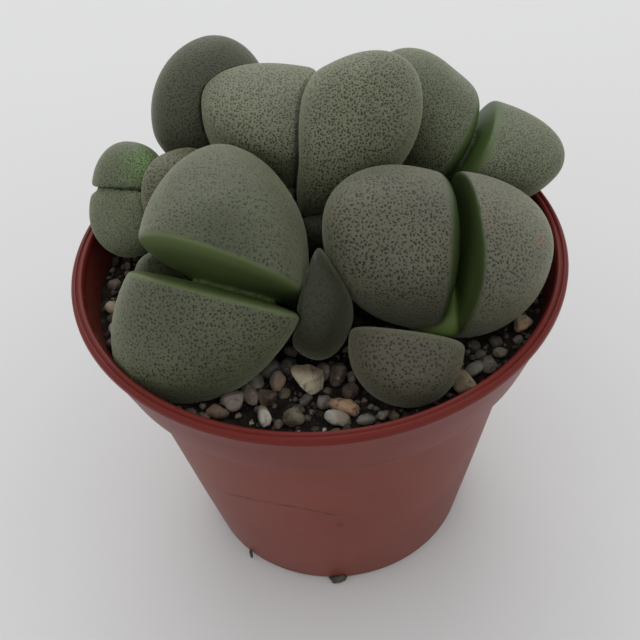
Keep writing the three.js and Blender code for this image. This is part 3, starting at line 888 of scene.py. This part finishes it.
def pot_profile():
    lip = POT_HEIGHT - LIP_HEIGHT
    inner_rim = RIM_RADIUS - RIM_WIDTH
    middle_rim = RIM_RADIUS - 0.48 * RIM_WIDTH
    outline = [
        (0, 0.9), (BASE_RADIUS - 4.2, 0.9), (BASE_RADIUS - 3.6, 0), (BASE_RADIUS - BASE_CHAMFER, 0),
        (BASE_RADIUS, BASE_CHAMFER), (outer_radius(20), 20), (outer_radius(40), 40),
        (BODY_TOP_RADIUS, SHOULDER - COLLAR_UNDERSIDE), (COLLAR_BOTTOM_RADIUS - 0.2, SHOULDER),
        (COLLAR_BOTTOM_RADIUS, SHOULDER + 0.4), (outer_radius(SHOULDER + 8), SHOULDER + 8),
        (outer_radius(lip), lip), (RIM_RADIUS, lip + LIP_UNDERSIDE), (RIM_RADIUS, POT_HEIGHT - 0.5),
        (RIM_RADIUS - 0.45, POT_HEIGHT), (middle_rim + 0.25, POT_HEIGHT - 0.02),
        (middle_rim, POT_HEIGHT - RIM_GROOVE), (middle_rim - 0.25, POT_HEIGHT - 0.02),
        (inner_rim + 0.4, POT_HEIGHT), (inner_rim, POT_HEIGHT - 0.5), (inner_rim - LIP_UNDERSIDE, lip),
        (outer_radius(SHOULDER + WALL) - WALL, SHOULDER + WALL), (BODY_TOP_RADIUS - WALL, SHOULDER),
        (outer_radius(FLOOR) - WALL, FLOOR), (0, FLOOR),
    ]
    return rounded(outline, 0.6)


def build_pot():
    points, faces = turned_mesh(pot_profile(), POT_SIDES)
    piece = make_piece("pot_shell", points, faces, pot_plastic().material)
    holes = []
    for i in range(DRAIN_HOLES):
        angle = 2 * math.pi * i / DRAIN_HOLES
        x, y = DRAIN_CIRCLE * math.cos(angle), DRAIN_CIRCLE * math.sin(angle)
        at = Matrix.Translation(Vector((x, y, FLOOR / 2)) * MM)
        size = {"radius1": DRAIN_RADIUS * MM, "radius2": DRAIN_RADIUS * MM, "depth": (FLOOR + 2) * MM}
        shape = bmesh.new()
        bmesh.ops.create_cone(shape, cap_ends=True, segments=DRAIN_SIDES, matrix=at, **size)
        mesh = bpy.data.meshes.new("drain")
        shape.to_mesh(mesh)
        shape.free()
        hole = add_object("drain", mesh)
        holes.append(hole)
        modifier = piece.modifiers.new("drain", "BOOLEAN")
        modifier.operation = "DIFFERENCE"
        modifier.solver = "EXACT"
        modifier.object = hole
    mesh = apply_modifiers(piece)
    for hole in holes:
        bpy.data.objects.remove(hole)
    mesh.shade_smooth()
    points = points_of(mesh)
    radius = np.hypot(points[:, 0], points[:, 1])
    z = points[:, 2]
    outline = np.array([outer_radius(height) for height in z])
    inside = (radius < outline - WALL + 0.2) & (z > FLOOR - 0.1)
    lip = POT_HEIGHT - LIP_HEIGHT
    add_number(mesh, "inside", inside & (z < lip))
    # The rim mark is full on the rim's top, its own darker red, and half over the collar, where it is
    # painted shade.
    collar = soft_step(z, SHOULDER - COLLAR_UNDERSIDE, SHOULDER)
    add_number(mesh, "rim", 0.5 * (collar + soft_step(z, lip - 0.2, lip + LIP_UNDERSIDE)))
    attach(piece, "root")
    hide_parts("pot")


# ---- soil, grit and roots ----
def soil_height(x, y):
    slow = math.sin(x / 7 + 1.3) * math.cos(y / 9 - 0.4)
    fast = math.sin(x / 2.9 - y / 3.7) * math.cos(y / 3.1 + 0.8)
    return SOIL_TOP + 0.5 * slow + 0.42 * fast


def crumbly(x, y):
    lumps = noise.noise(Vector((x * 0.55, y * 0.55, 3.1)))
    crumbs = noise.noise(Vector((x * 1.5, y * 1.5, 7.7)))
    cells = noise.voronoi(Vector((x * 0.8, y * 0.8, 1.5)))[0][0]
    return 0.7 * lumps + 0.4 * crumbs - 0.7 * cells + 0.3


def build_soil():
    edge = outer_radius(SOIL_TOP) - WALL - 0.1
    lowest = FLOOR + GAP
    wall = [(outer_radius(z) - WALL - GAP, z) for z in (lowest, 30, SHOULDER - 1)]
    wall.append((outer_radius(SHOULDER + 3) - WALL - GAP, SHOULDER + 3))
    top = [(edge * (1 - k / SOIL_RINGS), SOIL_TOP) for k in range(SOIL_RINGS)]
    profile = [(0, lowest)] + wall + top + [(0, SOIL_TOP)]
    points, faces = turned_mesh(profile, SOIL_SIDES)
    for point in points:
        if point[2] > SOIL_TOP - 0.01:
            point[2] = soil_height(point[0], point[1]) + crumbly(point[0], point[1])
    piece = make_piece("soil_bed", points, faces, soil_mix().material)
    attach(piece, "root")
    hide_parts("soil")


CREAM = (0.50, 0.44, 0.32)
TAN = (0.33, 0.20, 0.125)
WHITE = (0.43, 0.41, 0.35)
PINK_GREY = (0.17, 0.138, 0.118)
BROWN_GREY = (0.135, 0.105, 0.082)
GREY = (0.145, 0.138, 0.118)
DARK_GREY = (0.075, 0.068, 0.060)
BEIGE = (0.34, 0.28, 0.19)
MOTTLED = (0.14, 0.125, 0.085)
PEAT = (0.035, 0.026, 0.018)
PALETTE = (BROWN_GREY, BROWN_GREY, DARK_GREY, DARK_GREY, PEAT, PEAT, PINK_GREY, MOTTLED)
CRUMB_TINTS = ((0.012, 0.010, 0.007), (0.02, 0.016, 0.011), (0.035, 0.027, 0.02), (0.08, 0.066, 0.05))
SECOND_TINTS = ((0.4, 0.35, 0.3), (0.55, 0.5, 0.42), (1.2, 1.0, 0.8))

# The grit that stands out: its place, three half-widths, turn in degrees and colour.
NAMED_STONES = [
    (-3.9, -30.7, 2.8, 3.1, 2.3, 20, CREAM),
    (-0.9, -28.5, 1.5, 1.6, 1.5, 0, PINK_GREY),
    (1.8, -29.6, 1.7, 3.0, 1.8, -5, BROWN_GREY),
    (2.4, -38.2, 3.4, 1.5, 1.4, -38, TAN),
    (-1.4, -36.6, 1.3, 1.5, 1.2, 0, GREY),
    (1.0, -41.3, 2.4, 1.5, 1.3, -15, WHITE),
    (6.5, -42.2, 1.8, 1.2, 1.1, 8, GREY),
    (9.6, -41.6, 1.2, 0.9, 0.9, 8, PINK_GREY),
    (11.7, -41.6, 1.0, 0.9, 0.8, 8, MOTTLED),
    (-7.3, -40.3, 2.1, 2.1, 1.5, 30, MOTTLED),
    (-12.8, -39.3, 1.3, 2.4, 1.4, 8, WHITE),
    (-12.1, -34.8, 1.8, 2.0, 1.6, 20, BROWN_GREY),
    (-18.7, -34.6, 2.2, 2.9, 1.9, -10, PINK_GREY),
    (-22.0, -37.0, 2.1, 1.4, 1.3, -12, BROWN_GREY),
    (-15.8, -33.6, 1.5, 2.7, 1.5, 15, BROWN_GREY),
    (-14.4, -30.4, 1.5, 2.0, 1.5, 10, GREY),
    (-10.2, -30.7, 1.4, 2.1, 1.5, -20, PINK_GREY),
    (-11.7, -27.6, 2.1, 2.4, 1.8, 0, DARK_GREY),
    (-7.6, -27.2, 1.9, 2.0, 1.7, 0, DARK_GREY),
    (4.0, -34.6, 1.5, 1.7, 1.3, 0, BROWN_GREY),
    (4.4, -30.9, 0.9, 1.5, 1.1, 0, PINK_GREY),
    (-5.0, -35.6, 1.4, 1.3, 0.9, 0, DARK_GREY),
    (-15.5, -39.6, 0.5, 0.5, 0.5, 0, WHITE),
    (-1.8, -43.0, 0.45, 0.45, 0.45, 0, WHITE),
    (7.7, -38.5, 0.7, 0.6, 0.5, 0, GREY),
    (8.6, -39.6, 0.6, 0.5, 0.5, 0, GREY),
    (26.2, -35.7, 2.3, 2.1, 1.9, 0, BEIGE),
    (28.7, -32.2, 1.9, 1.6, 1.5, 40, GREY),
    (31.5, -30.9, 1.8, 2.0, 1.6, 10, GREY),
    (34.5, -27.7, 1.4, 1.3, 1.1, 10, MOTTLED),
    (40.3, -20.7, 1.9, 1.7, 1.7, 20, BEIGE),
    (-45, -5, 1.7, 1.9, 1.5, 20, BEIGE),
    (-43.5, -11.2, 1.7, 1.5, 1.5, 70, WHITE),
    (-44.0, -15.0, 1.5, 1.3, 1.2, 70, DARK_GREY),
]


def ball(fineness):
    shape = bmesh.new()
    bmesh.ops.create_icosphere(shape, subdivisions=fineness, radius=1.0)
    shape.verts.index_update()
    points = np.array([vert.co[:] for vert in shape.verts])
    faces = [tuple(vert.index for vert in face.verts) for face in shape.faces]
    shape.free()
    return points, faces


BALLS = {fineness: ball(fineness) for fineness in (2, 3, 4)}


def stone_mesh(rng, size, fineness=2, cuts=12):
    """A worn, angular stone: a ball with flats cut on it, and a little unevenness."""
    ball_points, faces = BALLS[fineness]
    points = ball_points.copy()
    for _ in range(cuts):
        direction = random_direction(rng)
        beyond = np.clip(points @ direction - rng.uniform(0.6, 0.88), 0, None)
        points -= 0.92 * beyond[:, None] * direction
    points *= (1 + 0.05 * waves(points, rng, 0.5, 1.5))[:, None]
    return points / np.abs(points).max(axis=0) * size, faces


def turn_matrix(rng, turn):
    """Turns by `turn` degrees and tilts a little at random."""
    nod = Matrix.Rotation(rng.uniform(-0.35, 0.35), 3, "X")
    sway = Matrix.Rotation(rng.uniform(-0.35, 0.35), 3, "Y")
    return np.array(Matrix.Rotation(math.radians(turn), 3, "Z") @ (nod @ sway))


class Pile:
    """Stones or crumbs that are gathered in one piece."""

    def __init__(self):
        self.points, self.faces, self.tints = [], [], []
        self.count = 0

    def add(self, points, faces, tint, other=None, share=0.0):
        """`share` says how much each point has of the `other` tint."""
        self.faces += [tuple(index + self.count for index in face) for face in faces]
        self.points.append(points)
        tints = np.tile((*tint, 1.0), (len(points), 1))
        if other is not None:
            tints += np.reshape(share, (-1, 1)) * (np.array((*other, 1.0)) - tints)
        self.tints.append(tints)
        self.count += len(points)

    def piece(self, name, material):
        piece = make_piece(name, np.concatenate(self.points), self.faces, material)
        tint = piece.data.attributes.new("tint", "FLOAT_COLOR", "POINT")
        tint.data.foreach_set("color", np.concatenate(self.tints).astype(np.float32).ravel())
        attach(piece, "root")
        return piece


def random_place(rng, inner, outer):
    """A place on the soil. `inner` is the share of the disc's area that is left out in the middle."""
    angle = rng.uniform(0, 2 * math.pi)
    radius = outer * math.sqrt(rng.uniform(inner, 1))
    return radius * math.cos(angle), radius * math.sin(angle), radius


def room_at(bodies, *place):
    """About how far a place is from the nearest leaf."""
    point = np.array([place], dtype=float)
    return min(float((body.field(point)[0] - 1) * body.scale) for body in bodies)


def build_grit(bodies):
    rng = random.Random(23)
    pile = Pile()
    placed = []

    def drop(x, y, size, turn, tint, sunk, fineness=2):
        points, faces = stone_mesh(rng, size, fineness)
        spin = turn_matrix(rng, turn)
        shade = rng.uniform(0.85, 1.12)
        height = soil_height(x, y) + size[2] * (1 - sunk)
        side = points / size @ random_direction(rng)
        other = tuple(channel * factor for channel, factor in zip(tint, rng.choice(SECOND_TINTS)))
        share = soft_step(side, 0.0, 0.6)
        pile.add(points @ spin.T + (x, y, height), faces, multiplied(tint, shade), other, share)
        placed.append((x, y, max(size[:2])))

    for x, y, *size, turn, tint in NAMED_STONES:
        drop(x, y, multiplied(size, 1.15), turn, tint, 0.2, 3 if max(size) < 2.5 else 4)
    for _ in range(GRIT_TRIES):
        x, y, radius = random_place(rng, 0.2, 47.0)
        width = rng.choice((0.7, 0.9, 1.1, 1.4, 1.8))
        if radius + width > outer_radius(SOIL_TOP) - WALL - 0.2:
            continue
        if any(math.hypot(x - px, y - py) < 0.72 * (width + other) for px, py, other in placed):
            continue
        if room_at(bodies, x, y, SOIL_TOP + 1) < 0.6 * width:
            continue
        size = (width, width * rng.uniform(0.7, 1), width * rng.uniform(0.6, 0.85))
        drop(x, y, size, rng.uniform(0, 180), rng.choice(PALETTE), rng.uniform(0.3, 0.8))
    pile.piece("grit", grit_stone().material)


def build_crumbs(bodies):
    """Small dark crumbs of peat between the stones."""
    rng = random.Random(5)
    pile = Pile()
    for _ in range(CRUMB_TRIES):
        x, y, _ = random_place(rng, 0.15, 47.5)
        width = rng.uniform(0.3, 0.75)
        if room_at(bodies, x, y, SOIL_TOP + 0.8) < 0:
            continue
        points, faces = stone_mesh(rng, (width, width * rng.uniform(0.5, 1), width * 0.7), cuts=8)
        spin = turn_matrix(rng, rng.uniform(0, 180))
        tint = rng.choice(CRUMB_TINTS)
        height = soil_height(x, y) + crumbly(x, y) + width * 0.2
        pile.add(points @ spin.T + (x, y, height), faces, tint)
    pile.piece("peat_crumbs", grit_stone().material)


def build_root_ends():
    """An angular crumb of dried soil and a thin root end, which lie against the pot's foot."""
    rng = random.Random(3)
    pile = Pile()
    for x, y, width, turn in ((-1.6, -32.1, 1.9, 15), (-0.4, -31.8, 1.2, 60), (-2.9, -31.9, 1.3, -30)):
        size = (width, width * 0.75, width * 0.6)
        points, faces = stone_mesh(rng, size, 3)
        points = points @ turn_matrix(rng, turn).T + (x, y, size[2])
        points[:, 2] = np.maximum(points[:, 2], 0.05)
        pile.add(points, faces, PEAT)
    points, faces = stone_mesh(rng, (0.45, 0.45, 1.9))
    pile.add(points + (-22.6, -23.7, 1.95), faces, PEAT)
    pile.piece("root_ends", grit_stone().material)


def dress_stems():
    bark = root_bark().material
    for name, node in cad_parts.items():
        if name.startswith("stem_"):
            for slot in node.material_slots:
                slot.material = bark


# ---- camera, floor and light ----
def build_camera():
    """Looks down at the front of the pot from 44 degrees above the floor, rolled a little."""
    elevation, roll = 44.42, -4.95
    target = Vector((-0.75, 0, 56.8)) * MM
    distance = 249.0 * MM
    focal_pixels, image_pixels = 1100.0, 640.0
    lens = bpy.data.cameras.new("camera")
    lens.lens = focal_pixels / image_pixels * lens.sensor_width
    lens.clip_start = 0.01
    camera = add_object("camera", lens)
    tilt = Matrix.Rotation(math.radians(90 - elevation), 3, "X")
    turn = tilt @ Matrix.Rotation(math.radians(roll), 3, "Z")
    camera.matrix_world = Matrix.Translation(target + turn.col[2] * distance) @ turn.to_4x4()
    bpy.context.scene.camera = camera


def build_window():
    """A large soft light above and behind the plant."""
    lamp = bpy.data.lights.new("window", "AREA")
    lamp.shape = "DISK"
    lamp.size = 0.9
    lamp.energy = 3.5
    light = add_object("window", lamp)
    light.location = (0.0, 0.9, 0.8)
    direction = Vector((0, 0, 0.06)) - light.location
    light.rotation_euler = direction.to_track_quat("-Z", "Y").to_euler()


def build_studio():
    size = 3000.0
    corners = [(-size, -size, 0), (size, -size, 0), (size, size, 0), (-size, size, 0)]
    floor = make_piece("floor", corners, [(0, 1, 2, 3)], studio_floor().material)
    world = bpy.data.worlds.new("studio")
    bpy.context.scene.world = world
    world.use_nodes = True
    background = world.node_tree.nodes["Background"]
    background.inputs["Color"].default_value = (1.0, 1.0, 1.0, 1.0)
    background.inputs["Strength"].default_value = 1.0
    build_window()
    bpy.context.scene.view_settings.view_transform = "Standard"


build_camera()
build_studio()
leaf_bodies = build_leaves()
build_pot()
build_soil()
build_grit(leaf_bodies)
build_crumbs(leaf_bodies)
build_root_ends()
dress_stems()
